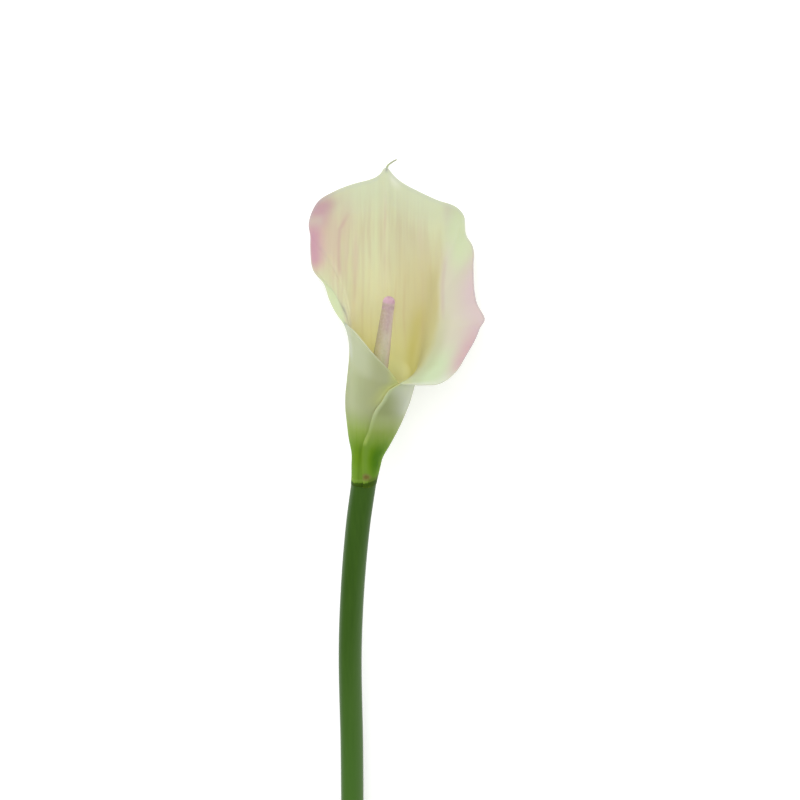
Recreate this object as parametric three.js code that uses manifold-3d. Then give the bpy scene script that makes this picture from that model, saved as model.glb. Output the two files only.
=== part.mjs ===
// A cut calla lily laid on its back: one spathe rolled into a funnel, the spadix inside it and a bare stem.
// Millimetres, +Z up. The flower points along +Y with its mouth up, and rests on the back of the spathe's
// limb and on the cut end of the stem.
import * as THREE from "three";
import { mergeVertices } from "three/addons/utils/BufferGeometryUtils.js";
import Module from "manifold-3d";

const wasm = await Module();
wasm.setup();

// The flower's own line starts at its foot, where the spathe sits on the stem, and leans to +X and up.
const FOOT_HEIGHT = 29;
const LEAN = new THREE.Vector3(0.14, 1, 0.16).normalize();
const SIDE = new THREE.Vector3(1, 0, 0).addScaledVector(LEAN, -LEAN.x).normalize();
const FRONT = new THREE.Vector3().crossVectors(SIDE, LEAN);

// Stem: bare, round and a little bowed, with a plug that stands inside the foot of the spathe.
const STEM_LENGTH = 285;
const STEM_RADIUS = 4.75;
const STEM_TOP_RADIUS = 5.2;
const STEM_SIDES = 20;
const STEM_STEPS = 30;
const PLUG_RADIUS = 3.2;
const PLUG_HEIGHT = 10;
const SEAT_GAP = 0.3;
// The stem's sideways bow: distance behind the foot, then how far to +X.
const STEM_BOW = [
  [-285, -2.6],
  [-200, -4.8],
  [-112, -5.3],
  [-71, -5.9],
  [-44, -4.8],
  [-17, -2.4],
  [0, 0],
];

// Spadix: a finger of small florets on the flower's line, drawn in at its round tip.
const SPADIX_TOP = 79;
const SPADIX_SHOULDER = 75.5;
const SPADIX_RADIUS = 3.3;
const SPADIX_TIP_RADIUS = 2.5;
const SPADIX_TAPER_FROM = 52;
const FLORETS_ROUND = 12;
const FLORET_PITCH = 1.5;
const FLORET_RELIEF = 0.14;

// Spathe: one sheet, rolled with its right edge over its left. A turn is an angle round the flower's line
// in degrees: 0 at the back, 90 at the right, 180 at the front.
const WALL = 0.8;
const FOOT_DROP = 0.9;
const FOOT_TILT = 0.75;
const OVERLAP_STEP = 1.2;
const NOTCH_TURN = 146;
const THROAT_HEIGHT = 48.5;
const THROAT_SLOPE = 4;
const COLUMNS = 72;
const TUBE_ROWS = 9;
const LIMB_ROWS = 15;
// The tube's shape: height up the flower's line, radius, and how far its centre bulges to the right.
const TUBE = [
  [-2, 4.9, -0.35],
  [0, 4.9, -0.35],
  [7, 5.6, -0.45],
  [12, 6.2, -0.5],
  [17.5, 8.2, -0.35],
  [24, 10.25, 0],
  [30, 11.9, 0.2],
  [36, 13.05, 0.55],
  [42, 13.6, 0.9],
  [55, 14.3, 1.2],
];
// Where the two edges run on the tube: share of the way up, then the turn of the left and right edges.
const SEAM = [
  [0, -240, 177],
  [0.15, -248, 188.5],
  [0.3, -250, 195.5],
  [0.43, -250, 193.5],
  [0.55, -248, 186.5],
  [0.65, -245, 184],
  [0.76, -239, 179.5],
  [0.84, -233, 172],
  [0.92, -225, 167],
  [0.97, -218, 159],
  [1, NOTCH_TURN - 360, NOTCH_TURN],
];
// The limb's edge from the notch round by the left, the tip and the right. Each row is a column of the
// sheet, the turn where that column leaves the throat, the edge's place from the foot with Z from the
// table, and how far the column curls outwards: 1 is an even arc, 0 ends straight, less turns back up.
const RIM = [
  [5, -190, 10.2, 47.2, 50.5, 0.2],
  [9, -170, 5.7, 51.7, 51.5, 0.2],
  [14, -146, 0, 58.3, 49.5, 0.2],
  [18, -127, -3.6, 62.6, 44, 0.2],
  [21, -114, -6.3, 65.2, 38, 1],
  [24, -103, -11.5, 71, 30.5, 1.6],
  [26, -97, -14.5, 77, 24, 1.6],
  [28, -92, -16.9, 83.8, 17.5, 1.3],
  [30, -88, -21.8, 90.3, 11.5, 0.9],
  [32, -84, -23, 99.5, 5.5, 0.7],
  [33, -81, -23.1, 105, 3, 0.5],
  [34, -78, -23.9, 110.5, 1, 0.4],
  [36, -67, -20.6, 119.3, -2, 0.1],
  [38, -50, -13.7, 124, -3.5, -0.1],
  [40, -30, -4.4, 127.6, -4, -0.3],
  [42, -8, 6.9, 130, -4, -0.3],
  [43, 0, 10, 130.5, -4, -0.3],
  [44, 7, 13, 129.2, -4, -0.3],
  [45, 17, 18, 126.7, -4, -0.3],
  [47, 38, 30.4, 120.8, -3.5, -0.2],
  [49, 56, 39.4, 117.4, -1.5, 0.1],
  [50, 63, 42.5, 113.6, 0.5, 0.3],
  [51, 69, 42.8, 107.8, 3.5, 0.5],
  [51.4, 71, 43.3, 104.7, 5.5, 0.6],
  [52, 74, 45.7, 100.6, 9, 0.7],
  [54, 81, 46, 90.5, 16.5, 0.8],
  [56, 88, 46.2, 80, 24, 0.9],
  [57, 92, 47.3, 74.3, 27.5, 1],
  [58, 96, 50.2, 68.2, 32, 1.1],
  [59, 99.5, 48.2, 64.4, 34.5, 1.1],
  [60, 103, 46.4, 60, 37, 1.1],
  [62, 110, 42.3, 52.8, 41, 1.1],
  [64, 117, 38, 46, 45, 1.1],
  [66, 124, 31.6, 41.4, 49, 1.1],
  [68, 131, 24.4, 40.7, 50, 1.1],
  [70, 138, 19.3, 40.9, 49.5, 1],
];
const RIB_START = 0.45;
const RIB_END = 0.32;
// The tip is drawn out and up at one column, over this many columns to each side.
const TIP_COLUMN = 43;
const TIP_WIDTH = 1.1;
const TIP_DRAW = new THREE.Vector3(-0.9, 3.9, 4.8);
// The limb is pressed flat where it would go below the table, with this much height to blend over.
const PRESS_BLEND = 1.5;
// The thread-like tail on the spathe's tip: its points from the foot, and its radius at root and end.
const TAIL = [
  [9.2, 132.8, 0.6],
  [9.6, 134.9, 1],
  [11.3, 136.4, 1.6],
  [13.8, 137.8, 2.2],
];
const TAIL_RADIUS = [0.5, 0.32];

// A smooth value through rows of [x, value, value, ...], as an array of the values at x.
function smoothThrough(rows, x) {
  const last = rows.length - 1;
  let k = 0;
  while (k < last - 1 && x > rows[k + 1][0]) k += 1;
  const slope = (i, n) => (rows[i + 1][n] - rows[i][n]) / (rows[i + 1][0] - rows[i][0]);
  const tangent = (i, n) => {
    if (i === 0) return slope(0, n);
    if (i === last) return slope(last - 1, n);
    return (slope(i - 1, n) + slope(i, n)) / 2;
  };
  const span = rows[k + 1][0] - rows[k][0];
  const t = THREE.MathUtils.clamp((x - rows[k][0]) / span, 0, 1);
  const values = [];
  for (let n = 1; n < rows[k].length; n += 1) {
    const start = rows[k][n] * (1 + 2 * t) * (1 - t) ** 2;
    const end = rows[k + 1][n] * t * t * (3 - 2 * t);
    const out = span * tangent(k, n) * t * (1 - t) ** 2;
    const back = span * tangent(k + 1, n) * t * t * (t - 1);
    values.push(start + end + out + back);
  }
  return values;
}

// The flower's line, at a height above its foot.
function lineAt(height) {
  return new THREE.Vector3(0, 0, FOOT_HEIGHT).addScaledVector(LEAN, height);
}

// The direction away from the flower's line at a turn.
function outward(turn) {
  const angle = THREE.MathUtils.degToRad(turn);
  return SIDE.clone().multiplyScalar(Math.sin(angle)).addScaledVector(FRONT, -Math.cos(angle));
}

// How much higher the foot's seat is at a turn than on the flower's line: it rises to the back and right.
function seatRise(turn, radius) {
  const angle = THREE.MathUtils.degToRad(turn);
  return (radius / STEM_TOP_RADIUS) * (FOOT_DROP * Math.cos(angle) + FOOT_TILT * Math.sin(angle));
}

// A closed skin over rings of points, each end closed by a fan.
function loft(rings) {
  const sides = rings[0].length;
  const centre = (ring) => ring.reduce((sum, p) => sum.add(p), new THREE.Vector3()).divideScalar(sides);
  const points = [...rings.flat(), centre(rings[0]), centre(rings[rings.length - 1])];
  const foot = points.length - 2;
  const head = points.length - 1;
  const index = [];
  for (let i = 0; i < sides; i += 1) {
    const next = (i + 1) % sides;
    index.push(foot, i, next);
    for (let k = 0; k < rings.length - 1; k += 1) {
      const low = k * sides;
      const high = low + sides;
      index.push(low + i, high + next, low + next, low + i, high + i, high + next);
    }
    index.push(head, foot - sides + next, foot - sides + i);
  }
  return new THREE.BufferGeometry().setFromPoints(points).setIndex(index);
}

// A ring of points round a centre, seen from the ring's head as running clockwise.
function ring(centre, side, front, radius, sides, rise = () => 0) {
  return Array.from({ length: sides }, (_, i) => {
    const turn = (360 * i) / sides;
    const angle = THREE.MathUtils.degToRad(turn);
    return centre
      .clone()
      .addScaledVector(side, radius * Math.sin(angle))
      .addScaledVector(front, -radius * Math.cos(angle))
      .addScaledVector(LEAN, rise(turn));
  });
}

// The stem's centre line: bowed sideways, and sagging from the foot to lie level at its cut end.
function stemLine(y) {
  const rise = (y + STEM_LENGTH) / STEM_LENGTH;
  const [x] = smoothThrough(STEM_BOW, y);
  return new THREE.Vector3(x, y, STEM_RADIUS + (FOOT_HEIGHT - STEM_RADIUS) * rise * rise);
}

function stemGeometry() {
  const rings = [];
  const step = STEM_LENGTH / STEM_STEPS;
  for (let k = 0; k < STEM_STEPS; k += 1) {
    const y = -STEM_LENGTH + k * step;
    const along = stemLine(y + 1).sub(stemLine(y)).normalize();
    const side = new THREE.Vector3(1, 0, 0).addScaledVector(along, -along.x).normalize();
    const front = new THREE.Vector3().crossVectors(side, along);
    const share = k / STEM_STEPS;
    const radius = THREE.MathUtils.lerp(STEM_RADIUS, STEM_TOP_RADIUS, share ** 4);
    rings.push(ring(stemLine(y), side, front, radius, STEM_SIDES));
  }
  const seat = lineAt(-SEAT_GAP);
  for (const radius of [STEM_TOP_RADIUS, PLUG_RADIUS]) {
    rings.push(ring(seat, SIDE, FRONT, radius, STEM_SIDES, (turn) => seatRise(turn, radius)));
  }
  rings.push(ring(lineAt(PLUG_HEIGHT), SIDE, FRONT, PLUG_RADIUS, STEM_SIDES));
  return loft(rings);
}

function spadixRadius(height) {
  const taper = THREE.MathUtils.smoothstep(height, SPADIX_TAPER_FROM, SPADIX_SHOULDER);
  const body = THREE.MathUtils.lerp(SPADIX_RADIUS, SPADIX_TIP_RADIUS, taper);
  const dome = THREE.MathUtils.clamp((height - SPADIX_SHOULDER) / (SPADIX_TOP - SPADIX_SHOULDER), 0, 1);
  return body * Math.sqrt(1 - dome * dome);
}

// Florets stand as low pyramids in rows, each row set half a floret round from the last.
function spadixGeometry() {
  const sides = 2 * FLORETS_ROUND;
  const foot = PLUG_HEIGHT + SEAT_GAP;
  const rows = Math.round((SPADIX_TOP - foot) / FLORET_PITCH);
  const rings = [];
  for (let k = 0; k < rows; k += 1) {
    const height = foot + ((SPADIX_TOP - foot) * k) / rows;
    const points = ring(lineAt(height), SIDE, FRONT, spadixRadius(height), sides);
    points.forEach((point, i) => {
      const relief = (i + k) % 2 ? FLORET_RELIEF : -FLORET_RELIEF;
      point.addScaledVector(outward((360 * i) / sides), relief);
    });
    rings.push(points);
  }
  rings.push(ring(lineAt(SPADIX_TOP), SIDE, FRONT, 0.4, sides));
  return loft(rings);
}

// A point of the rolled tube: the sheet spirals outwards by OVERLAP_STEP a turn, so its edges clear.
function tubePoint(turn, height) {
  const [radius, bulge] = smoothThrough(TUBE, height);
  return lineAt(height)
    .addScaledVector(SIDE, bulge)
    .addScaledVector(outward(turn), radius + (OVERLAP_STEP * turn) / 360);
}

function throatHeight(turn) {
  return THROAT_HEIGHT + THROAT_SLOPE * Math.cos(THREE.MathUtils.degToRad(turn));
}

// The limb at a column, as { turn, edge, curl }. Both ends meet the tube at the notch.
function rimAt(column) {
  const end = (at, turn, curl) => [at, turn, ...tubePoint(turn, throatHeight(turn)).toArray(), curl];
  const rows = [end(0, NOTCH_TURN - 360, RIM[0][5]), ...RIM, end(COLUMNS, NOTCH_TURN, 1)];
  const [turn, x, y, z, curl] = smoothThrough(rows, column);
  return { turn, edge: new THREE.Vector3(x, y, z), curl };
}

// A column of the limb leaves the throat along the tube's wall and curls over to the rim.
function limbPoint(column, share) {
  const { turn, edge, curl } = rimAt(column);
  const height = throatHeight(turn);
  const start = tubePoint(turn, height);
  const wall = tubePoint(turn, height + 1).sub(start).normalize();
  const chord = edge.clone().sub(start);
  const length = chord.length();
  chord.normalize();
  const last = chord.clone().multiplyScalar(1 + curl * chord.dot(wall)).addScaledVector(wall, -curl).normalize();
  const rib = new THREE.CubicBezierCurve3(
    start,
    start.clone().addScaledVector(wall, RIB_START * length),
    edge.clone().addScaledVector(last, -RIB_END * length),
    edge,
  );
  const draw = Math.exp(-(((column - TIP_COLUMN) / TIP_WIDTH) ** 2)) * share ** 8;
  return rib.getPoint(share).addScaledVector(TIP_DRAW, draw);
}

function pressed(z) {
  if (z < -PRESS_BLEND) return 0;
  return z > PRESS_BLEND ? z : (z + PRESS_BLEND) ** 2 / (4 * PRESS_BLEND);
}

// The sheet's middle surface at a column, and along from the foot (0) by the throat (1) to the rim (2).
function sheetPoint(column, along) {
  let point;
  if (along < 1) {
    const [left, right] = smoothThrough(SEAM, along);
    const turn = THREE.MathUtils.lerp(left, right, (rimAt(column).turn - NOTCH_TURN) / 360 + 1);
    point = tubePoint(turn, THREE.MathUtils.lerp(seatRise(turn, STEM_TOP_RADIUS), throatHeight(turn), along));
  } else {
    point = limbPoint(column, along - 1);
  }
  point.z = WALL / 2 + pressed(point.z - WALL / 2);
  return point;
}

// Gives a surface a wall: both faces share their triangles, and every open edge gets a strip.
function thicken(surface, wall) {
  const at = surface.getAttribute("position");
  const normal = surface.getAttribute("normal");
  const triangles = [];
  for (let k = 0; k < surface.index.count; k += 3) {
    const [a, b, c] = [0, 1, 2].map((n) => surface.index.getX(k + n));
    if (a !== b && b !== c && c !== a) triangles.push([a, b, c]);
  }
  const points = [1, -1].flatMap((way) =>
    Array.from({ length: at.count }, (_, i) => {
      const offset = new THREE.Vector3().fromBufferAttribute(normal, i);
      return new THREE.Vector3().fromBufferAttribute(at, i).addScaledVector(offset, (way * wall) / 2);
    }),
  );
  const edges = new Set(triangles.flatMap(([a, b, c]) => [`${a} ${b}`, `${b} ${c}`, `${c} ${a}`]));
  const under = at.count;
  const index = [];
  for (const [a, b, c] of triangles) {
    index.push(a, b, c, under + c, under + b, under + a);
  }
  for (const edge of edges) {
    const [a, b] = edge.split(" ").map(Number);
    if (!edges.has(`${b} ${a}`)) index.push(b, a, under + a, b, under + a, under + b);
  }
  return new THREE.BufferGeometry().setFromPoints(points).setIndex(index);
}

function sheetGeometry() {
  const rows = TUBE_ROWS + LIMB_ROWS;
  const points = [];
  const index = [];
  for (let k = 0; k <= rows; k += 1) {
    const along = k < TUBE_ROWS ? k / TUBE_ROWS : 1 + (k - TUBE_ROWS) / LIMB_ROWS;
    for (let i = 0; i <= COLUMNS; i += 1) points.push(sheetPoint(i, along));
  }
  const across = COLUMNS + 1;
  for (let k = 0; k < rows; k += 1) {
    for (let i = 0; i < COLUMNS; i += 1) {
      const low = k * across + i;
      const high = low + across;
      index.push(low, low + 1, high + 1, low, high + 1, high);
    }
  }
  const sheet = mergeVertices(new THREE.BufferGeometry().setFromPoints(points).setIndex(index), 1e-4);
  sheet.computeVertexNormals();
  return thicken(sheet, WALL);
}

function tailGeometry() {
  const path = new THREE.CatmullRomCurve3(TAIL.map((p) => new THREE.Vector3(...p)));
  const steps = 8;
  const sides = 8;
  const rings = Array.from({ length: steps + 1 }, (_, k) => {
    const share = k / steps;
    const along = path.getTangent(share);
    const side = new THREE.Vector3().crossVectors(along, new THREE.Vector3(0, 0, 1)).normalize();
    const front = new THREE.Vector3().crossVectors(side, along);
    const radius = THREE.MathUtils.lerp(TAIL_RADIUS[0], TAIL_RADIUS[1], share);
    return ring(path.getPoint(share), side, front, radius, sides);
  });
  return loft(rings);
}

function solidOf(geometry) {
  const triVerts = new Uint32Array(geometry.index.array);
  return new wasm.Manifold(
    new wasm.Mesh({ numProp: 3, vertProperties: geometry.getAttribute("position").array, triVerts }),
  );
}

function geometryOf(solid) {
  const { vertProperties, triVerts } = solid.getMesh();
  return new THREE.BufferGeometry()
    .setAttribute("position", new THREE.BufferAttribute(vertProperties, 3))
    .setIndex(new THREE.BufferAttribute(triVerts, 1));
}

function named(name, geometry, colour, roughness) {
  const material = new THREE.MeshStandardMaterial({ color: colour, roughness, metalness: 0 });
  const mesh = new THREE.Mesh(geometry, material);
  mesh.name = name;
  return mesh;
}

const flower = new THREE.Group();
flower.add(named("stem", stemGeometry(), 0x3f6326, 0.5));
flower.add(named("spadix", spadixGeometry(), 0xc4a99b, 0.7));
flower.add(named("spathe", geometryOf(solidOf(sheetGeometry()).add(solidOf(tailGeometry()))), 0xd6d6b0, 0.55));

// The part's origin is the middle of its box on the table.
const box = new THREE.Box3().setFromObject(flower);
const middle = box.getCenter(new THREE.Vector3());
flower.position.set(-middle.x, -middle.y, -box.min.z);

export default flower;
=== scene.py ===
"""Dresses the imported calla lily: a fine spathe, spadix and stem over the CAD solids, with finishes."""

import math

import bpy
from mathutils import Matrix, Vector


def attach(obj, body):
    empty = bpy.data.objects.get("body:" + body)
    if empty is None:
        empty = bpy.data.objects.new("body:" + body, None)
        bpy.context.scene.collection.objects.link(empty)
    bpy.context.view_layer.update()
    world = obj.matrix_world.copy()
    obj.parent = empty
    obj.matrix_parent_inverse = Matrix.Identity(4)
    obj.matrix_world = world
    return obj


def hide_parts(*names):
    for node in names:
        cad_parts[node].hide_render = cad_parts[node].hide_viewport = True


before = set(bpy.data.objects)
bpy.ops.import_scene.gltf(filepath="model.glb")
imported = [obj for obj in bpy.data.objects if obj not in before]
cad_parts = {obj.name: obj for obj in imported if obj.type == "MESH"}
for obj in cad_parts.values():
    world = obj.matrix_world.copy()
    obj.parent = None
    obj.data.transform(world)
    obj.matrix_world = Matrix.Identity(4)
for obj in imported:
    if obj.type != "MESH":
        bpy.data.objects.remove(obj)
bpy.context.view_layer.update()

# Shapes are worked out in millimetres from the flower's foot, as in the part's own source.
MM = 0.001
FOOT_IN_FRAME = Vector((-13.039, 73.522, 0))

# Camera: straight above the flower, at the photograph's scale of 10/24 mm a pixel.
VIEW_CENTRE = Vector((15.08, 34.6, 29))
VIEW_DISTANCE = 926
LENS = 100
SENSOR = 36

# The flower's own line and its foot, where the spathe sits on the stem.
FOOT_HEIGHT = 29
LEAN = Vector((0.14, 1, 0.16)).normalized()
SIDE = (Vector((1, 0, 0)) - LEAN * LEAN.x).normalized()
FRONT = SIDE.cross(LEAN)

# The stem with the plug on its top, the gaps to the pieces on it, the rings of points in its seat, how
# late it swells towards the seat, and its bow: how far ahead, then how far to the right.
STEM_LENGTH = 285
STEM_RADIUS = 4.75
STEM_TOP_RADIUS = 5.2
PLUG_RADIUS = 3.2
PLUG_HEIGHT = 10
SEAT_GAP = 0.3
JOINT_GAP = 0.03
SEAT_RINGS = 6
STEM_SWELL = 4
STEM_BOW = [(-285, -2.6), (-200, -4.8), (-112, -5.3), (-71, -5.9), (-44, -4.8), (-17, -2.4), (0, 0)]

# The spadix by its heights on the flower's line, its florets, and the share of its rows below the dome.
SPADIX_TOP = 79
SPADIX_SHOULDER = 75.5
SPADIX_RADIUS = 3.3
SPADIX_TIP_RADIUS = 2.5
SPADIX_TAPER_FROM = 52
FLORETS_ROUND = 20
FLORET_PITCH = 0.95
FLORET_RELIEF = 0.1
SPADIX_BODY_SHARE = 0.93

# The spathe: turns are degrees round the flower's line, 0 at the back, 90 right and 180 front.
WALL = 0.8
FOOT_DROP = 0.9
FOOT_TILT = 0.75
OVERLAP_STEP = 1.2
NOTCH_TURN = 146
THROAT_HEIGHT = 48.5
THROAT_SLOPE = 4
COLUMNS = 72

# The tube's height, radius and bulge to the right.
TUBE = [
    (-2, 4.9, -0.35),
    (0, 4.9, -0.35),
    (7, 5.6, -0.45),
    (12, 6.2, -0.5),
    (17.5, 8.2, -0.35),
    (24, 10.25, 0),
    (30, 11.9, 0.2),
    (36, 13.05, 0.55),
    (42, 13.6, 0.9),
    (55, 14.3, 1.2),
]

# The turns of the sheet's left and right edges, by their share of the way up the tube.
SEAM = [
    (0, -240, 177),
    (0.15, -248, 188.5),
    (0.3, -250, 195.5),
    (0.43, -250, 193.5),
    (0.55, -248, 186.5),
    (0.65, -245, 184),
    (0.76, -239, 179.5),
    (0.84, -233, 172),
    (0.92, -225, 167),
    (0.97, -218, 159),
    (1, NOTCH_TURN - 360, NOTCH_TURN),
]

# The rim: column, turn where it leaves the throat, place to the right, ahead and up, and curl.
RIM = [
    (5, -190, 10.2, 47.2, 50.5, 0.2),
    (9, -170, 5.7, 51.7, 51.5, 0.2),
    (14, -146, 0, 58.3, 49.5, 0.2),
    (18, -127, -3.6, 62.6, 44, 0.2),
    (21, -114, -6.3, 65.2, 38, 1),
    (24, -103, -11.5, 71, 30.5, 1.6),
    (26, -97, -14.5, 77, 24, 1.6),
    (28, -92, -16.9, 83.8, 17.5, 1.3),
    (30, -88, -21.8, 90.3, 11.5, 0.9),
    (32, -84, -23, 99.5, 5.5, 0.7),
    (33, -81, -23.1, 105, 3, 0.5),
    (34, -78, -23.9, 110.5, 1, 0.4),
    (36, -67, -20.6, 119.3, -2, 0.1),
    (38, -50, -13.7, 124, -3.5, -0.1),
    (40, -30, -4.4, 127.6, -4, -0.3),
    (42, -8, 6.9, 130, -4, -0.3),
    (43, 0, 10, 130.5, -4, -0.3),
    (44, 7, 13, 129.2, -4, -0.3),
    (45, 17, 18, 126.7, -4, -0.3),
    (47, 38, 30.4, 120.8, -3.5, -0.2),
    (49, 56, 39.4, 117.4, -1.5, 0.1),
    (50, 63, 42.5, 113.6, 0.5, 0.3),
    (51, 69, 42.8, 107.8, 3.5, 0.5),
    (51.4, 71, 43.3, 104.7, 5.5, 0.6),
    (52, 74, 45.7, 100.6, 9, 0.7),
    (54, 81, 46, 90.5, 16.5, 0.8),
    (56, 88, 46.2, 80, 24, 0.9),
    (57, 92, 47.3, 74.3, 27.5, 1),
    (58, 96, 50.2, 68.2, 32, 1.1),
    (59, 99.5, 48.2, 64.4, 34.5, 1.1),
    (60, 103, 46.4, 60, 37, 1.1),
    (62, 110, 42.3, 52.8, 41, 1.1),
    (64, 117, 38, 46, 45, 1.1),
    (66, 124, 31.6, 41.4, 49, 1.1),
    (68, 131, 24.4, 40.7, 50, 1.1),
    (70, 138, 19.3, 40.9, 49.5, 1),
]

# How far a rib runs straight at either end, the drawn-out tip, the flat spot's blend and the tail.
RIB_START = 0.45
RIB_END = 0.32
TIP_COLUMN = 43
TIP_WIDTH = 1.1
TIP_DRAW = Vector((-0.9, 3.9, 4.8))
TIP_SHARPNESS = 8
PRESS_BLEND = 1.5
TAIL = [Vector(p) for p in ((9.2, 132.8, 0.6), (9.6, 134.9, 1), (11.3, 136.4, 1.6), (13.8, 137.8, 2.2))]
TAIL_RADIUS = (0.5, 0.32)
TAIL_ROUNDED_FROM = 0.93
TAIL_REACH = 0.25

# Lines on the spathe, in millimetres from its foot: how far ahead, then how far to the right.
FOLD = [(43.7, 20.2), (49, 26), (57.3, 29.5), (67.8, 32.1), (82.8, 32.1), (93.1, 33.3), (104, 34.2)]
CREASE = [(76.3, -7.9), (85, -9.7), (94, -10.8), (100.7, -11), (107.4, -10.7), (114, -7.5)]
FLAP_LINE = [(3, -1.6), (10, -1.3), (17.9, -0.3), (25, 2.2), (31.7, 4.9), (36, 8), (40, 11.5), (42, 15.5)]
# Streaks on its inside: how far right, from and to how far ahead, width; strength.
LEAFY_STREAKS = [
    (4.4, 76, 126, 3, 0.7),
    (0.5, 70, 90, 1.4, 0.5),
    (11.6, 72, 106, 2, 0.6),
    (19.6, 60, 92, 1.4, 0.5),
    (29, 98, 118, 5, 0.5),
]
ROSE_STREAKS = [
    (-7.5, 108, 124, 8, 0.9),
    (-9.2, 102, 116, 3, 0.5),
    (-12.5, 86, 114, 3.5, 0.7),
    (-8, 86, 104, 2.4, 0.6),
    (-4, 66, 104, 2.6, 0.8),
    (-1.2, 60, 80, 1.2, 0.5),
    (8.2, 104, 124, 1.6, 0.6),
    (8.6, 78, 98, 1, 0.4),
    (13.6, 60, 84, 1.2, 0.6),
    (17.2, 58, 90, 1.6, 0.7),
    (24, 84, 110, 3, 0.5),
]
THROAT_STREAKS = [
    (-4.2, 60, 84, 1.4, 0.5),
    (-0.5, 56, 76, 1.2, 0.7),
    (3.2, 54, 70, 1, 0.6),
    (13.2, 60, 84, 1, 0.6),
    (17.2, 56, 84, 1.2, 0.8),
    (24.5, 62, 88, 1.4, 0.6),
    (28, 70, 92, 1, 0.6),
]

# The brown spot low on the flap: how far right of the foot and ahead of it.
BRUISE = (1.1, 2.6)

# The studio: how much brighter than its own colour a face turned up to the light looks, the table, and
# the lamps, as name, metres right, ahead and up from the flower's head, size and power.
STUDIO_LEVEL = 1.16
WORLD_LEVEL = 0.75
TABLE_SIZE = 8
TABLE_DROP = 0.2
TABLE_GLOW = 0.28
HEAD_HEIGHT = 60
LAMPS = [("key", (-0.8, 1.1, 1.9), 1.2, 13), ("fill", (0.1, 0.2, 2.4), 1.4, 11)]

# How finely the pieces are made, and the share of the spathe's rows that lie in the tube; then the
# spathe's rounded rim, the angle in degrees from which an edge stays sharp, and how near points merge.
SHEET_GRID = (288, 108)
SPADIX_GRID = (80, 330)
STEM_GRID = (40, 120)
TAIL_GRID = (12, 24)
THROAT_ROW = 1 / 3
RIM_ROUNDING = 0.22
RIM_CORNER = 60
SHARP_FROM = 50
WELD = 0.002


def smooth_through(rows, x):
    """A smooth value through rows of (x, value, value, ...), as a list of the values at x."""
    last = len(rows) - 1
    k = 0
    while k < last - 1 and x > rows[k + 1][0]:
        k += 1

    def slope(i, n):
        return (rows[i + 1][n] - rows[i][n]) / (rows[i + 1][0] - rows[i][0])

    def tangent(i, n):
        if i == 0:
            return slope(0, n)
        if i == last:
            return slope(last - 1, n)
        return (slope(i - 1, n) + slope(i, n)) / 2

    span = rows[k + 1][0] - rows[k][0]
    t = min(max((x - rows[k][0]) / span, 0), 1)
    values = []
    for n in range(1, len(rows[k])):
        start = rows[k][n] * (1 + 2 * t) * (1 - t) ** 2
        end = rows[k + 1][n] * t * t * (3 - 2 * t)
        out = span * tangent(k, n) * t * (1 - t) ** 2
        back = span * tangent(k + 1, n) * t * t * (t - 1)
        values.append(start + out + end + back)
    return values


def lerp(a, b, t):
    return a + (b - a) * t


def smoothstep(low, high, x):
    t = min(max((x - low) / (high - low), 0), 1)
    return t * t * (3 - 2 * t)


def line_at(height):
    """A place on the flower's line."""
    return Vector((0, 0, FOOT_HEIGHT)) + LEAN * height


def outward(turn):
    angle = math.radians(turn)
    return SIDE * math.sin(angle) - FRONT * math.cos(angle)


def seat_rise(turn, radius):
    """How much higher the foot's seat is at a turn than on the flower's line."""
    angle = math.radians(turn)
    return radius / STEM_TOP_RADIUS * (FOOT_DROP * math.cos(angle) + FOOT_TILT * math.sin(angle))


def tube_point(turn, height):
    """A place on the tube, whose radius grows with the turn so that the right edge lies over the left."""
    radius, bulge = smooth_through(TUBE, height)
    return line_at(height) + SIDE * bulge + outward(turn) * (radius + OVERLAP_STEP * turn / 360)


def throat_height(turn):
    return THROAT_HEIGHT + THROAT_SLOPE * math.cos(math.radians(turn))


def rim_rows():
    """The rim with both of its ends, which meet the tube at the notch."""

    def end(at, turn, curl):
        return (at, turn, *tube_point(turn, throat_height(turn)), curl)

    return [end(0, NOTCH_TURN - 360, RIM[0][5]), *RIM, end(COLUMNS, NOTCH_TURN, 1)]


FULL_RIM = rim_rows()


def bezier(a, b, c, d, t):
    """A place on the curve from a to d, drawn towards b and c."""
    s = 1 - t
    return a * s**3 + b * 3 * s * s * t + c * 3 * s * t * t + d * t**3


def limb_point(column, share):
    """A column of the limb leaves the throat along the tube's wall and curls over to the rim."""
    turn, x, y, z, curl = smooth_through(FULL_RIM, column)
    edge = Vector((x, y, z))
    height = throat_height(turn)
    start = tube_point(turn, height)
    wall = (tube_point(turn, height + 1) - start).normalized()
    chord = edge - start
    length = chord.length
    chord.normalize()
    last = (chord * (1 + curl * chord.dot(wall)) - wall * curl).normalized()
    place = bezier(start, start + wall * RIB_START * length, edge - last * RIB_END * length, edge, share)
    tip = math.exp(-(((column - TIP_COLUMN) / TIP_WIDTH) ** 2)) * share**TIP_SHARPNESS
    return place + TIP_DRAW * tip


def pressed(z):
    """A height kept off the surface: what would lie below it is pressed flat, with a soft blend."""
    if z < -PRESS_BLEND:
        return 0
    return z if z > PRESS_BLEND else (z + PRESS_BLEND) ** 2 / (4 * PRESS_BLEND)


def sheet_point(u, v):
    """The spathe's middle surface: u from its left edge to its right, v from its foot to its rim."""
    column = u * COLUMNS
    if v < THROAT_ROW:
        along = v / THROAT_ROW
        left, right = smooth_through(SEAM, along)
        turn = lerp(left, right, (smooth_through(FULL_RIM, column)[0] - NOTCH_TURN) / 360 + 1)
        place = tube_point(turn, lerp(seat_rise(turn, STEM_TOP_RADIUS), throat_height(turn), along))
    else:
        place = limb_point(column, (v - THROAT_ROW) / (1 - THROAT_ROW))
    place.z = WALL / 2 + pressed(place.z - WALL / 2)
    return place


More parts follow.
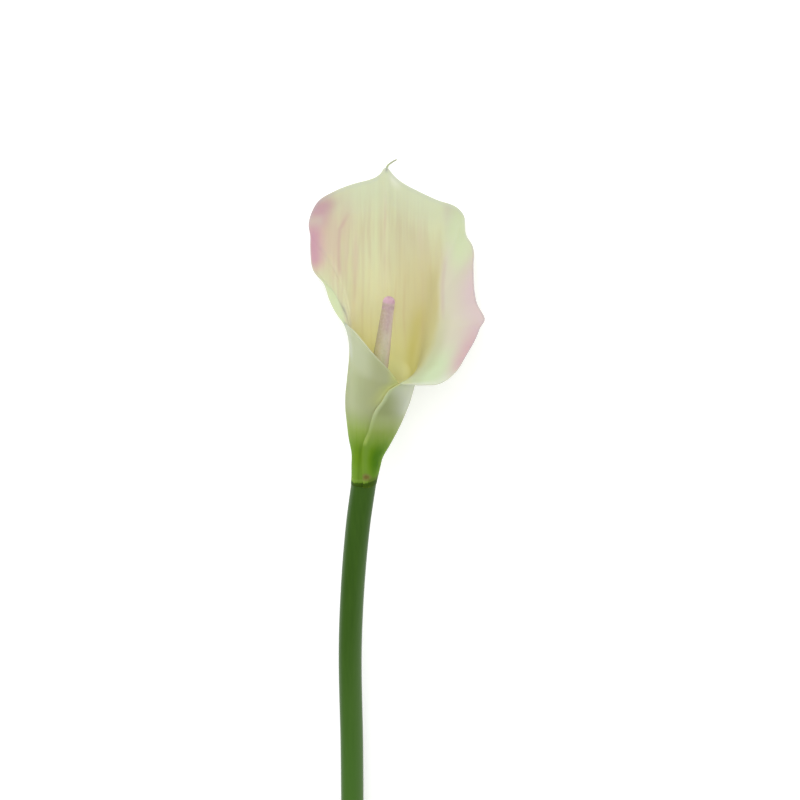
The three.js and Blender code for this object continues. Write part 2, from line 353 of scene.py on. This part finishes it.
def in_frame(place):
    """Millimetres from the flower's foot to metres in the frame."""
    return (place + FOOT_IN_FRAME) * MM


def select_only(piece):
    bpy.ops.object.select_all(action="DESELECT")
    piece.select_set(True)
    bpy.context.view_layer.objects.active = piece


def shaped_grid(name, grid, place):
    """A grid primitive bent into shape: place gives each of its points from (u, v) on the grid."""
    bpy.ops.object.select_all(action="DESELECT")
    bpy.ops.mesh.primitive_grid_add(x_subdivisions=grid[0], y_subdivisions=grid[1], size=1)
    piece = bpy.context.object
    piece.name = name
    piece.data.name = name
    for point in piece.data.vertices:
        point.co = in_frame(place(point.co.x + 0.5, point.co.y + 0.5))
    bpy.ops.object.mode_set(mode="EDIT")
    bpy.ops.mesh.select_all(action="SELECT")
    bpy.ops.mesh.remove_doubles(threshold=WELD * MM)
    bpy.ops.object.mode_set(mode="OBJECT")
    return piece


def face_outwards(piece):
    select_only(piece)
    bpy.ops.object.mode_set(mode="EDIT")
    bpy.ops.mesh.select_all(action="SELECT")
    bpy.ops.mesh.normals_make_consistent(inside=False)
    bpy.ops.object.mode_set(mode="OBJECT")


def finish_piece(piece, node, paint):
    """Smooths a piece, paints it and puts it in the place of its CAD node."""
    select_only(piece)
    bpy.ops.object.shade_smooth_by_angle(angle=math.radians(SHARP_FROM))
    piece.data.materials.clear()
    piece.data.materials.append(paint)
    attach(piece, "root")
    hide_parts(node)


def apply_modifier(piece, kind, **settings):
    select_only(piece)
    modifier = piece.modifiers.new(kind.title(), kind)
    for name, value in settings.items():
        setattr(modifier, name, value)
    bpy.ops.object.modifier_apply(modifier=modifier.name)


def join(piece, other):
    """Takes another piece into a piece."""
    select_only(piece)
    other.select_set(True)
    bpy.ops.object.join()


def round_point(centre, side, front, radius, turn, rise=0):
    angle = math.radians(turn)
    return centre + side * (radius * math.sin(angle)) - front * (radius * math.cos(angle)) + LEAN * rise


def along_a_line(tangent, across):
    """Two directions square to a line's tangent, the first as near to across as it can be."""
    side = (across - tangent * across.dot(tangent)).normalized()
    return side, side.cross(tangent)


def make_spathe():
    """The rolled sheet with its wall, whose first points are the inside face."""
    spathe = shaped_grid("spathe_fine", SHEET_GRID, sheet_point)
    count = len(spathe.data.vertices)
    apply_modifier(spathe, "SOLIDIFY", thickness=WALL * MM, offset=0, use_even_offset=False)
    inside = spathe.data.attributes.new("inside", "FLOAT", "POINT")
    inside.data.foreach_set("value", [1.0 if i < count else 0.0 for i in range(len(spathe.data.vertices))])
    corner = math.radians(RIM_CORNER)
    apply_modifier(
        spathe, "BEVEL", width=RIM_ROUNDING * MM, segments=2, limit_method="ANGLE", angle_limit=corner
    )
    return spathe


def make_tail():
    """The thread on the spathe's tip, rounded off at its end."""

    def place(u, v):
        spot = v * (len(TAIL) - 1)
        k = min(int(spot), len(TAIL) - 2)
        before, after = TAIL[max(k - 1, 0)], TAIL[min(k + 2, len(TAIL) - 1)]
        t = spot - k
        a, b = TAIL[k], TAIL[k + 1]
        out, back = (b - before) / 2, (after - a) / 2
        curve = (a, a + out / 3, b - back / 3, b)
        centre = bezier(*curve, t)
        tangent = bezier(*curve, t + 0.01) - centre
        side, front = along_a_line(tangent.normalized(), Vector((1, 0, 0)))
        radius = lerp(*TAIL_RADIUS, v) * math.sqrt(1 - smoothstep(TAIL_ROUNDED_FROM, 1, v))
        return round_point(centre, side, front, radius, 360 * u)

    tail = shaped_grid("spathe_tail", TAIL_GRID, place)
    for spot in tail.data.uv_layers[0].uv:
        u, v = spot.vector
        spot.vector = (TIP_COLUMN + u - 0.5) / COLUMNS, 1 + v * TAIL_REACH
    return tail


def stem_line(y):
    """The stem's middle, bowed to the side and rising from the surface to the flower's foot."""
    rise = (y + STEM_LENGTH) / STEM_LENGTH
    height = STEM_RADIUS + (FOOT_HEIGHT - STEM_RADIUS) * rise * rise
    return Vector((smooth_through(STEM_BOW, y)[0], y, height))


def make_stem():
    """The stem from its cut end to the seat, and the plug that stands in the spathe's foot."""
    rings = STEM_GRID[1]
    bare = rings - SEAT_RINGS

    def place(u, v):
        k = round(v * rings)
        turn = 360 * u
        if k <= bare:
            share = max(k - 1, 0) / bare
            y = -STEM_LENGTH * (1 - share)
            tangent = (stem_line(y + 1) - stem_line(y)).normalized()
            side, front = along_a_line(tangent, Vector((1, 0, 0)))
            radius = 0 if k == 0 else lerp(STEM_RADIUS, STEM_TOP_RADIUS, share**STEM_SWELL)
            return round_point(stem_line(y), side, front, radius, turn)
        seat = line_at(-JOINT_GAP)
        if k == bare + 1:
            return round_point(seat, SIDE, FRONT, STEM_TOP_RADIUS, turn, seat_rise(turn, STEM_TOP_RADIUS))
        if k == bare + 2:
            return round_point(seat, SIDE, FRONT, PLUG_RADIUS, turn, seat_rise(turn, PLUG_RADIUS))
        if k == bare + 3:
            return round_point(line_at(PLUG_HEIGHT), SIDE, FRONT, PLUG_RADIUS, turn)
        return line_at(PLUG_HEIGHT)

    return shaped_grid("stem_fine", STEM_GRID, place)


def spadix_radius(height):
    """The spadix's radius without its florets, tapered and with a blunt dome on top."""
    body = lerp(SPADIX_RADIUS, SPADIX_TIP_RADIUS, smoothstep(SPADIX_TAPER_FROM, SPADIX_SHOULDER, height))
    dome = min(max((height - SPADIX_SHOULDER) / (SPADIX_TOP - SPADIX_SHOULDER), 0), 1)
    return body * math.sqrt(1 - dome**3)


def make_spadix():
    """The spadix with its florets as small domes, each row half a floret round from the last."""
    foot = PLUG_HEIGHT + SEAT_GAP

    def place(u, v):
        if v == 0:
            return line_at(foot)
        angle = math.pi / 2 * min(max((v - SPADIX_BODY_SHARE) / (1 - SPADIX_BODY_SHARE), 0), 1)
        height = lerp(foot, SPADIX_SHOULDER, min((v - 1 / SPADIX_GRID[1]) / SPADIX_BODY_SHARE, 1))
        height += (SPADIX_TOP - SPADIX_SHOULDER) * math.sin(angle)
        radius = spadix_radius(height) if v < 1 else 0
        row = height / FLORET_PITCH
        spot = u * FLORETS_ROUND
        floret = math.cos(2 * math.pi * spot) * math.cos(math.pi * row)
        relief = FLORET_RELIEF * floret * min(radius / SPADIX_TIP_RADIUS, 1)
        return round_point(line_at(height), SIDE, FRONT, max(radius + relief, 0), 360 * u)

    return shaped_grid("spadix_fine", SPADIX_GRID, place)


def tone(red, green, blue):
    """A colour as it looks in the studio's light, 0 to 255, as the linear colour that a shader takes."""

    def linear(value):
        value /= 255
        bright = value / 12.92 if value <= 0.04045 else ((value + 0.055) / 1.055) ** 2.4
        return bright / STUDIO_LEVEL

    return (linear(red), linear(green), linear(blue), 1)


class Socket:
    """A node's output that can be used in sums, so that a mask reads as a formula."""

    def __init__(self, paint, output):
        self.paint = paint
        self.output = output

    def calculate(self, operation, first, second):
        return self.paint.node("Math", {"operation": operation}, {0: first, 1: second})

    def __add__(self, other):
        return self.calculate("ADD", self, other)

    def __sub__(self, other):
        return self.calculate("SUBTRACT", self, other)

    def __rsub__(self, other):
        return self.calculate("SUBTRACT", other, self)

    def __mul__(self, other):
        return self.calculate("MULTIPLY", self, other)

    def __truediv__(self, other):
        return self.calculate("DIVIDE", self, other)

    __radd__ = __add__
    __rmul__ = __mul__


class Paint:
    """A material while it is mixed. One method adds any node."""

    def __init__(self, name):
        self.material = bpy.data.materials.new(name)
        self.material.use_nodes = True
        self.nodes = self.material.node_tree.nodes
        self.links = self.material.node_tree.links
        self.nodes.clear()

    def node(self, kind, settings=None, inputs=None, output=0):
        made = self.nodes.new("ShaderNode" + kind)
        for name, value in (settings or {}).items():
            setattr(made, name, value)
        for name, value in (inputs or {}).items():
            if isinstance(value, Socket):
                self.links.new(value.output, made.inputs[name])
            else:
                made.inputs[name].default_value = value
        return Socket(self, made.outputs[output]) if made.outputs else made

    def place(self):
        """Where a point is, in metres in the frame."""
        return self.node("TexCoord", output="Object")

    def grid(self):
        """The sheet's own u and v as two values."""
        spot = self.node("UVMap", {"uv_map": "UVMap"})
        return self.dot(spot, (1, 0, 0)), self.dot(spot, (0, 1, 0))

    def vector(self, x, y, z=0):
        return self.node("CombineXYZ", inputs={0: x, 1: y, 2: z})

    def scaled(self, vector, factors):
        return self.node("Mapping", inputs={"Vector": vector, "Scale": factors})

    def dot(self, vector, direction):
        return self.node(
            "VectorMath", {"operation": "DOT_PRODUCT"}, {0: vector, 1: tuple(direction)}, output="Value"
        )

    def height(self):
        """Millimetres up the flower's line from its foot."""
        foot = in_frame(line_at(0))
        return (self.dot(self.place(), LEAN) - foot.dot(LEAN)) * (1 / MM)

    def above_seat(self):
        """Millimetres above the slanting seat where the spathe's foot sits on the stem."""
        foot = in_frame(line_at(-SEAT_GAP))
        square = LEAN - (SIDE * FOOT_TILT - FRONT * FOOT_DROP) / STEM_TOP_RADIUS
        return (self.dot(self.place(), square) - foot.dot(square)) * (1 / MM)

    def noise(self, vector, scale, detail=3):
        return self.node("TexNoise", inputs={"Vector": vector, "Scale": scale, "Detail": detail})

    def step(self, value, low, high):
        """0 below low, 1 above high and smooth between; falls instead where low is above high."""
        start, end = (low, high) if low < high else (high, low)
        ends = {3: 0, 4: 1} if low < high else {3: 1, 4: 0}
        return self.node(
            "MapRange", {"interpolation_type": "SMOOTHSTEP"}, {0: value, 1: start, 2: end, **ends}
        )

    def band(self, value, low, high, soft):
        return self.step(value, low - soft, low + soft) * self.step(value, high + soft, high - soft)

    def trace(self, value, *points):
        """A number that runs straight from each point's second value to the next one's."""
        total = points[0][1]
        for (low, start), (high, end) in zip(points, points[1:]):
            total = self.node("MapRange", inputs={0: value, 1: low, 2: high, 3: 0, 4: end - start}) + total
        return total

    def mix(self, share, first, second):
        """Two colours mixed by a share."""
        return self.node("Mix", {"data_type": "RGBA"}, {0: share, 6: first, 7: second}, output=2)

    def bump(self, height, strength, distance):
        return self.node("Bump", inputs={"Strength": strength, "Distance": distance, "Height": height})

    def finish(self, **sockets):
        """Ends the material in a Principled shader with these sockets."""
        inputs = {name.replace("_", " "): value for name, value in sockets.items()}
        self.node("OutputMaterial", inputs={"Surface": self.node("BsdfPrincipled", inputs=inputs)})
        return self.material


class Petal(Paint):
    """The spathe's paint, placed by the sheet's columns, left to right, and its share from throat to rim.

    The markings' ranges are columns, shares, and millimetres to the right and ahead of the foot.
    """

    def __init__(self):
        super().__init__("spathe")
        across, along = self.grid()
        self.column = across * COLUMNS
        self.share = (along - THROAT_ROW) / (1 - THROAT_ROW)
        self.right = self.dot(self.place(), (1 / MM, 0, 0)) - FOOT_IN_FRAME.x
        self.ahead = self.dot(self.place(), (0, 1 / MM, 0)) - FOOT_IN_FRAME.y
        self.drift = self.noise(self.place(), 45)
        self.broad = self.noise(self.vector(self.right * 0.36, self.ahead * 0.03), 1, detail=2)
        self.fine = self.noise(self.vector(self.right * 0.9, self.ahead * 0.04, 3), 1, detail=4)

        # The right half, how far a point is to the right of the fold and of the seam, and the right lobe.
        self.right_half = self.step(self.column, 43, 46)
        self.fold = self.right - self.trace(self.ahead, *FOLD)
        self.seam = self.right - self.trace(self.ahead, *FLAP_LINE)
        fold_width = self.trace(self.ahead, (52, 4.4), (74, 2.1))
        self.lobe = self.step(self.fold / fold_width, -1, 1) * self.right_half

    def inside(self):
        return self.node("Attribute", {"attribute_name": "inside"}, output="Fac")

    def streaks(self, rows):
        """How far a set of lengthwise streaks covers a point."""
        total = 0
        spot = self.right + (self.drift - 0.5) * 3
        for right, low, high, width, strength in rows:
            across = self.band(spot - right, -width / 3, width / 3, width / 2)
            total = across * self.band(self.ahead, low, high, 7) * strength + total
        return total

    def face(self):
        """The inside: cream, yellow down the trough, minty on the lobe and pink on the margins."""
        colour = self.with_throat(self.cream())
        colour = self.with_depths(self.with_lobe(colour))
        return self.edged(self.blushed(self.with_pink_lines(colour)))

    def cream(self):
        """Cream with beige and leafy streaks, paler under the tip and greener down the left margin."""
        column, share = self.column, self.share
        colour = self.mix(self.step(self.broad, 0.38, 0.62), tone(208, 203, 168), tone(213, 213, 176))
        colour = self.mix(self.step(self.fine, 0.48, 0.68) * 0.5, colour, tone(204, 194, 165))
        colour = self.mix(self.step(self.fine, 0.5, 0.32) * 0.45, colour, tone(216, 217, 177))
        colour = self.mix(self.streaks(LEAFY_STREAKS), colour, tone(213, 218, 177))
        colour = self.mix(self.streaks(ROSE_STREAKS), colour, tone(210, 191, 170))
        crown = self.band(column, 38, 50, 3) * self.step(share, 0.66, 1)
        colour = self.mix(crown * 0.8, colour, tone(218, 227, 196))
        beige = self.band(column, 43.5, 49, 1.5) * self.band(share, 0.4, 0.72, 0.1)
        colour = self.mix(beige * 0.5, colour, tone(203, 197, 164))
        margin = self.band(column, 18, 29.5, 3) * self.step(share, 0.4, 0.75)
        colour = self.mix(margin, colour, tone(208, 220, 178))
        above_spadix = self.band(self.right, 7.5, 12, 2) * self.band(self.ahead, 76, 81, 2)
        return self.mix(above_spadix * 0.6, colour, tone(200, 193, 148))

    def with_throat(self, colour):
        """A colour that turns yellow towards the throat, between the left margin and the fold."""
        column, share = self.column, self.share
        trough = self.step(column, 32, 39) * (1 - self.lobe)
        reach = share + (self.fine - 0.5) * 0.2 - self.right_half * 0.14
        gold = self.mix(self.step(column, 42, 50), tone(222, 218, 172), tone(198, 188, 126))
        colour = self.mix(self.step(reach, 0.6, 0.08) * trough * 0.85, colour, gold)
        colour = self.mix(self.streaks(THROAT_STREAKS) * 0.6, colour, tone(200, 180, 140))
        warm = self.band(column, 44, 50, 3) * self.band(share, 0.18, 0.5, 0.16)
        colour = self.mix(warm * (self.fine + 0.1), colour, tone(200, 192, 152))
        # Painted light: the trough's left wall is painted lighter where the curled wall shades it.
        painted_light_left_wall = self.band(column, 33.5, 37.5, 2) * self.band(share, 0.08, 0.3, 0.08)
        colour = self.mix(painted_light_left_wall * 0.6, colour, tone(240, 234, 190))
        shade = self.band(self.fold, -5.5, -0.5, 2) * self.band(share, 0.1, 0.5, 0.08) * self.right_half
        return self.mix(shade * 0.45, colour, tone(188, 181, 136))

    def with_lobe(self, colour):
        """A colour with the lobe right of the fold over it, which turns from beige to mint."""
        column, share = self.column, self.share
        colour = self.mix(self.lobe, colour, tone(211, 207, 189))
        upper = self.band(column, 48.5, 52.5, 1) * self.step(share, 0.6, 0.85)
        colour = self.mix(upper * 0.8, colour, tone(205, 219, 180))
        lower = self.step(column, 59, 64) * self.step(share, 0.2, 0.5)
        colour = self.mix(lower, colour, tone(203, 219, 184))
        colour = self.mix(self.lobe * self.step(share, 0.4, 0.2), colour, tone(198, 204, 160))
        verge = self.band(self.fold, -4.5, 3.5, 2.5) * self.right_half
        greyed = self.mix(self.step(self.fold, -3, 1), tone(196, 196, 143), tone(187, 193, 156))
        colour = self.mix(verge * self.trace(self.ahead, (58, 0.6), (74, 0.05)), colour, greyed)
        brim = self.band(column, 64, 70, 2) * self.step(share, 0.75, 1)
        return self.mix(brim * 0.7, colour, tone(224, 228, 214))

    def with_depths(self, colour):
        """A colour with the bottom of the throat, painted lighter where the tube's edge shades it."""
        column, share = self.column, self.share
        depth = self.mix(self.step(column, 41, 44.5), tone(243, 237, 174), tone(254, 250, 190))
        depth = self.mix(self.step(column, 46, 49), depth, tone(236, 232, 158))
        colour = self.mix(self.step(share, 0.24, -0.08), colour, depth)
        deepest = self.band(column, 47.2, 49.6, 1.2) * self.band(share, 0, 0.26, 0.08)
        colour = self.mix(deepest * 0.45, colour, tone(204, 197, 116))
        below_edge = self.band(column, 41, 47, 2) * self.step(share, 0.02, -0.04)
        return self.mix(below_edge, colour, tone(255, 255, 196))

    def with_pink_lines(self, colour):
        """A colour with two pink lines: the crease down the left side and the fold down the right."""
        crease = self.right - self.trace(self.ahead, *CREASE)
        line = self.band(crease, -0.5, 0.7, 1.1) * self.band(self.ahead, 87, 113, 4) * (1 - self.right_half)
        colour = self.mix(line * 0.8, colour, tone(202, 172, 164))
        line = self.band(self.fold, 0.2, 1.4, 0.9) * self.band(self.ahead, 70, 94, 4) * self.right_half
        return self.mix(line * 0.6, colour, tone(200, 184, 176))

    def blushed(self, colour):
        """A colour with the pink of the margins over it: rose on the left lobe, pale on the right."""
        column, share = self.column, self.share
        patchy = self.step(self.drift, 0.25, 0.7) * 0.4 + 0.65
        pale = self.band(column, 54, 64.5, 2) * self.step(share, 0.6, 1)
        colour = self.mix(pale * patchy, colour, tone(215, 195, 199))
        rose = self.band(column, 59.5, 64, 1.5) * self.step(share, 0.72, 1)
        colour = self.mix(rose * 0.75, colour, tone(208, 172, 182))

        # On the left lobe a soft flush has one rose patch by the rim and a slanting one above it.
        left = self.step(column, 44, 40)
        wander = (self.drift - 0.5) * 6
        flush = self.step(self.right + wander, -9, -17) * self.step(self.ahead, 122, 110)
        flush = flush * self.step(self.ahead - self.right, 102, 114)
        colour = self.mix(flush * left * 0.75, colour, tone(208, 186, 172))
        slant = self.right * 0.909 - self.ahead * 0.417 + wander * 0.4
        upper = self.step(slant, -57.5, -65.5) * self.band(self.ahead, 107.5, 121, 3.5)
        colour = self.mix(upper * left * 0.95, colour, tone(201, 166, 174))
        lower = self.step(self.right + wander * 0.4, -15, -21.5) * self.band(self.ahead, 91.5, 108, 3.5)
        colour = self.mix(lower * left * 0.9, colour, tone(201, 155, 172))
        between = self.step(self.right, -16.5, -19.5) * self.band(self.ahead, 109.5, 113.5, 2)
        return self.mix(between * left * 0.6, colour, tone(206, 198, 182))

    def edged(self, colour):
        """A colour with the thin line of the rim: pale green, and mauve round the lobes."""
        glint = self.band(self.column, 43.5, 44.4, 0.4) * self.step(self.share, 0.92, 0.985)
        colour = self.mix(glint, colour, tone(232, 236, 214))
        rim = self.step(self.share, 0.968, 0.99)
        lobes = self.band(self.column, 31, 38, 1.5) + self.band(self.column, 52, 63, 1)
        return self.mix(rim * 0.6, colour, self.mix(lobes, tone(206, 213, 194), tone(193, 180, 184)))

    def back(self):
        """The outside: greenish white with faint veins, and the flap over its left edge."""
        column, share = self.column, self.share
        colour = self.mix(self.step(share, -0.1, 0.5), tone(170, 178, 134), tone(206, 212, 178))
        colour = self.mix(self.step(self.fine, 0.5, 0.72) * 0.3, colour, tone(176, 190, 142))
        front = self.step(column, 24, 18) * self.step(share, -0.1, 0.3)
        colour = self.mix(front, colour, tone(190, 198, 164))
        colour = self.blushed(colour)
        low_side = self.band(column, 16.5, 23, 4) * self.step(share, 0.4, 0)
        colour = self.mix(low_side * 0.6, colour, tone(192, 201, 160))
        high_side = self.band(column, 20.5, 25, 1.5) * self.step(share, 0.1, 0.3)
        colour = self.mix(high_side * 0.8, colour, tone(202, 210, 192))
        # Painted shade on the front of the tube's outside, near the mouth's rim.
        dark = self.step(column, 14, 8) * self.band(share, -0.2, 1, 0.1)
        colour = self.mix(dark * 0.7, colour, tone(164, 170, 126))
        return self.with_flap(self.with_leafy_strip(colour))

    def with_leafy_strip(self, colour):
        """A colour that turns leafy green beside the flap's edge and in the corner at its top; right by the
        edge it is painted lighter against the shade under the flap.
        """
        column = self.column
        # Right by the flap's edge the green is painted lighter: painted light against the shade under it.
        leafy = self.mix(self.step(self.seam, -2.2, 0), tone(184, 192, 126), tone(206, 214, 140))
        strip = self.step(self.seam, -6.5, -1) * self.step(column, 22, 16)
        colour = self.mix(strip * self.band(self.ahead, 34, 50, 5) * 0.7, colour, leafy)
        corner = self.step(self.right, 9, 14) * self.band(self.ahead, 42, 50, 3) * self.step(column, 8, 4)
        return self.mix(corner * 0.6, colour, tone(202, 210, 128))

    def with_flap(self, colour):
        """A colour with the flap over it, along a pale edge: darkest in its middle, where it is a deeper
        green with painted shade.
        """
        column, share = self.column, self.share
        # The flap's middle is darker: partly a deeper green, partly painted shade.
        dark = self.step(column - share * 80, 64, 78)
        flap = self.mix(dark, tone(208, 214, 192), tone(154, 164, 114))
        flap = self.mix(self.step(share, -0.06, 0.01) * 0.6, flap, tone(202, 212, 180))
        flap = self.mix(self.band(self.ahead, 22.5, 28, 2) * 0.6, flap, tone(178, 186, 140))
        colour = self.mix(self.step(column, 44, 58) * self.step(share, 0.15, 0), colour, flap)
        edge = self.step(column, 70, 71.6) * self.step(share, 0.1, -0.02)
        return self.mix(edge, colour, tone(186, 198, 152))

    def sprayed(self, colour):
        """A colour with the green sprayed on the foot, whose upper edge is yellower and fades away."""
        flap = self.step(self.column, 40, 52)
        height = self.height()
        spray = height + (self.fine - 0.5) * 3 + (self.drift - 0.5) * 5 - flap * 1.2
        colour = self.mix(self.step(spray, 34, 20) * (0.8 - flap * 0.2), colour, tone(142, 170, 54))
        green = self.bruised(self.foot_green(height), flap)
        return self.collared(self.mix(self.step(spray, 25, 13), colour, green))

    def foot_green(self, height):
        """The foot's green: deepest down its right, paler along the flap's edge, with a dark seam."""
        column = self.column
        green = self.mix(self.step(height, 12, 3) * 0.5, tone(106, 147, 11), tone(121, 160, 57))
        deep = self.band(column, 56, 65, 3.5) * self.band(height, 5, 18, 5)
        green = self.mix(deep * 0.9, green, tone(74, 122, 0))
        green = self.mix(self.band(column, 67.5, 72, 2) * 0.9, green, tone(116, 152, 50))
        # A small painted highlight on the flap's raised edge.
        painted_glint_on_flap_edge = self.step(column, 69.5, 71) * self.band(height, 18, 23, 1.5)
        green = self.mix(painted_glint_on_flap_edge * 0.7, green, tone(172, 196, 96))
        line = self.band(self.seam, -1.3, -0.2, 0.5) * self.step(column, 20, 12)
        return self.mix(line * self.step(self.ahead, 19, 14) * 0.7, green, tone(74, 108, 16))

    def bruised(self, colour, flap):
        """A colour with the brown spot on the flap, darker in its middle."""
        spot = self.vector((self.right - BRUISE[0]) * 0.7, self.ahead - BRUISE[1])
        near = self.node("VectorMath", {"operation": "LENGTH"}, {0: spot}, output="Value")
        near = near + (self.fine - 0.5) * 1.6
        colour = self.mix(self.step(near, 1.9, 1.1) * flap * 0.6, colour, tone(132, 118, 70))
        return self.mix(self.step(near, 1.1, 0.3) * flap * 0.6, colour, tone(116, 84, 44))

    def collared(self, colour):
        """A colour with the foot's lip: an uneven painted highlight on its left, over the dark joint, and
        darker on its right just above the joint.
        """
        rise = self.above_seat() + (self.drift - 0.5) * 0.8 + (self.fine - 0.5) * 1.4 - self.right * 0.14
        # The lip's pale line is a painted highlight, on the left only.
        lip = self.band(rise, 2.8, 3.6, 0.5) * self.step(self.right, 2, 0)
        colour = self.mix(lip * 0.5, colour, tone(138, 162, 72))
        # Darker on the right just above the joint.
        darker_on_right = self.step(rise, 4.5, 3) * self.step(self.right, 1.5, 2.6)
        colour = self.mix(darker_on_right * 0.6, colour, tone(84, 98, 30))
        return self.mix(self.step(rise, 2.6, 1.9), colour, tone(56, 86, 0))

    def tailed(self, colour):
        """A colour with the thread on the tip over it, which greys towards its end."""
        thread = self.mix(self.step(self.share, 1.1, 1.3), tone(186, 198, 164), tone(160, 168, 150))
        return self.mix(self.step(self.share, 1.005, 1.03), colour, thread)


def spathe_paint():
    """The sheet's inside and outside in one paint, with the green foot and the tail over both."""
    petal = Petal()
    colour = petal.mix(petal.inside(), petal.back(), petal.face())
    return petal.finish(
        Base_Color=petal.tailed(petal.sprayed(colour)),
        Roughness=0.52 + petal.fine * 0.12,
        Normal=petal.bump(petal.fine * 0.6 + petal.broad * 0.4, 0.25, 0.3 * MM),
        Subsurface_Weight=0.4,
        Subsurface_Radius=(1, 0.9, 0.6),
        Subsurface_Scale=3 * MM,
        Specular_IOR_Level=0.12,
    )


def spadix_paint():
    """Rose at the tip, paling to yellow-green at the foot, with a fine grain of lighter and darker specks.
    """
    paint = Paint("spadix")
    height = paint.height()
    grain = paint.noise(paint.place(), 900)
    drift = paint.noise(paint.place(), 220)
    wander = (drift - 0.5) * 8
    colour = paint.mix(paint.step(height + wander, 44, 62), tone(208, 216, 160), tone(210, 202, 176))
    colour = paint.mix(paint.step(height + wander, 61, 69), colour, tone(200, 176, 172))
    across = (paint.dot(paint.place(), SIDE) - in_frame(line_at(0)).dot(SIDE)) * (1 / MM)
    # Painted shade down the spadix's left side, painted lighter low down where the throat shades it.
    left_side_painted_shading = paint.mix(paint.step(height, 64, 52), tone(188, 173, 131), tone(228, 220, 154))
    colour = paint.mix(paint.step(across, 1.2, -3) * 0.65, colour, left_side_painted_shading)
    # Painted light down the spadix's right side.
    colour = paint.mix(paint.step(across, 0.8, 2.8) * 0.8, colour, tone(236, 218, 200))
    colour = paint.mix(paint.band(height, 73.6, 75.2, 1) * 0.8, colour, tone(194, 162, 168))
    colour = paint.mix(paint.step(height, 75.4, 76.8), colour, tone(216, 176, 190))
    colour = paint.mix(paint.step(height, 78, 79) * 0.7, colour, tone(186, 152, 156))
    colour = paint.mix(paint.step(grain, 0.45, 0.7) * 0.3, colour, tone(222, 208, 194))
    colour = paint.mix(paint.step(grain, 0.5, 0.3) * 0.2, colour, tone(176, 156, 134))
    return paint.finish(
        Base_Color=colour,
        Roughness=0.6 + grain * 0.1,
        Normal=paint.bump(grain, 0.3, 0.15 * MM),
        Subsurface_Weight=0.2,
        Subsurface_Radius=(1, 0.7, 0.5),
        Subsurface_Scale=1.5 * MM,
        Specular_IOR_Level=0.3,
    )


def stem_paint():
    """Deep green with fine lengthwise fibres, and a paler cut end."""
    paint = Paint("stem")
    place = paint.place()
    fibre = paint.noise(paint.scaled(place, (900, 14, 900)), 1)
    drift = paint.noise(paint.scaled(place, (60, 12, 60)), 1)
    colour = paint.mix(fibre, tone(44, 80, 4), tone(60, 96, 18))
    colour = paint.mix(paint.step(drift, 0.45, 0.75) * 0.4, colour, tone(70, 102, 34))
    ahead = paint.dot(place, (0, 1 / MM, 0)) - FOOT_IN_FRAME.y
    across = paint.dot(place, (1 / MM, 0, 0)) - FOOT_IN_FRAME.x - paint.trace(ahead, *STEM_BOW)
    # Painted light: paler lower down the stem.
    low = paint.step(ahead, -42, -150)
    colour = paint.mix(low * 0.6, colour, tone(78, 122, 46))
    # Painted sheen: paler down the right side, less so towards the top, and down the left side.
    lit = paint.trace(ahead, (-50, 0.55), (-32, 0.42), (-22, 0.24), (-14, 0.15))
    colour = paint.mix(paint.step(across, 0, 4.6) * lit, colour, tone(88, 118, 66))
    colour = paint.mix(paint.step(across, -3.4, -4.7) * 0.4, colour, tone(88, 116, 72))
    cut = paint.step(ahead + STEM_LENGTH, 0.3, 0.05)
    colour = paint.mix(cut, colour, tone(168, 182, 122))
    return paint.finish(
        Base_Color=colour,
        Roughness=0.4 + fibre * 0.12,
        Normal=paint.bump(fibre, 0.3, 0.2 * MM),
        Specular_IOR_Level=0.15,
        Sheen_Weight=0.25,
        Sheen_Roughness=0.3,
    )


def floor_paint():
    paint = Paint("floor")
    return paint.finish(
        Base_Color=(0.95, 0.95, 0.95, 1),
        Roughness=0.9,
        Specular_IOR_Level=0.1,
        Emission_Color=(1, 1, 1, 1),
        Emission_Strength=TABLE_GLOW,
    )


def make_floor():
    bpy.ops.object.select_all(action="DESELECT")
    bpy.ops.mesh.primitive_plane_add(size=TABLE_SIZE, location=(0, 0, -TABLE_DROP * MM))
    floor = bpy.context.object
    floor.name = "floor"
    floor.data.materials.append(floor_paint())


def add_softbox(name, place, aim, size, power):
    data = bpy.data.lights.new(name, "AREA")
    data.shape = "DISK"
    data.size = size
    data.energy = power
    lamp = bpy.data.objects.new(name, data)
    bpy.context.scene.collection.objects.link(lamp)
    lamp.location = place
    lamp.rotation_euler = (aim - place).to_track_quat("-Z", "Y").to_euler()


def light_the_studio():
    """Even white light from all round, with a soft key from the upper left."""
    world = bpy.data.worlds.new("studio")
    world.use_nodes = True
    background = world.node_tree.nodes["Background"]
    background.inputs["Color"].default_value = (1, 1, 1, 1)
    background.inputs["Strength"].default_value = WORLD_LEVEL
    bpy.context.scene.world = world
    head = in_frame(line_at(HEAD_HEIGHT))
    for name, place, size, power in LAMPS:
        add_softbox(name, head + Vector(place), head, size, power)
    view = bpy.context.scene.view_settings
    view.view_transform = "Standard"
    view.exposure = 0


def place_camera():
    """Looks straight down, square to the table, with the photograph's framing."""
    data = bpy.data.cameras.new("camera")
    data.lens = LENS
    data.sensor_width = SENSOR
    camera = bpy.data.objects.new("camera", data)
    bpy.context.scene.collection.objects.link(camera)
    camera.location = in_frame(VIEW_CENTRE + Vector((0, 0, VIEW_DISTANCE)))
    bpy.context.scene.camera = camera


place_camera()
light_the_studio()
make_floor()

spathe = make_spathe()
tail = make_tail()
face_outwards(tail)
join(spathe, tail)
finish_piece(spathe, "spathe", spathe_paint())

spadix = make_spadix()
face_outwards(spadix)
finish_piece(spadix, "spadix", spadix_paint())

stem = make_stem()
face_outwards(stem)
finish_piece(stem, "stem", stem_paint())
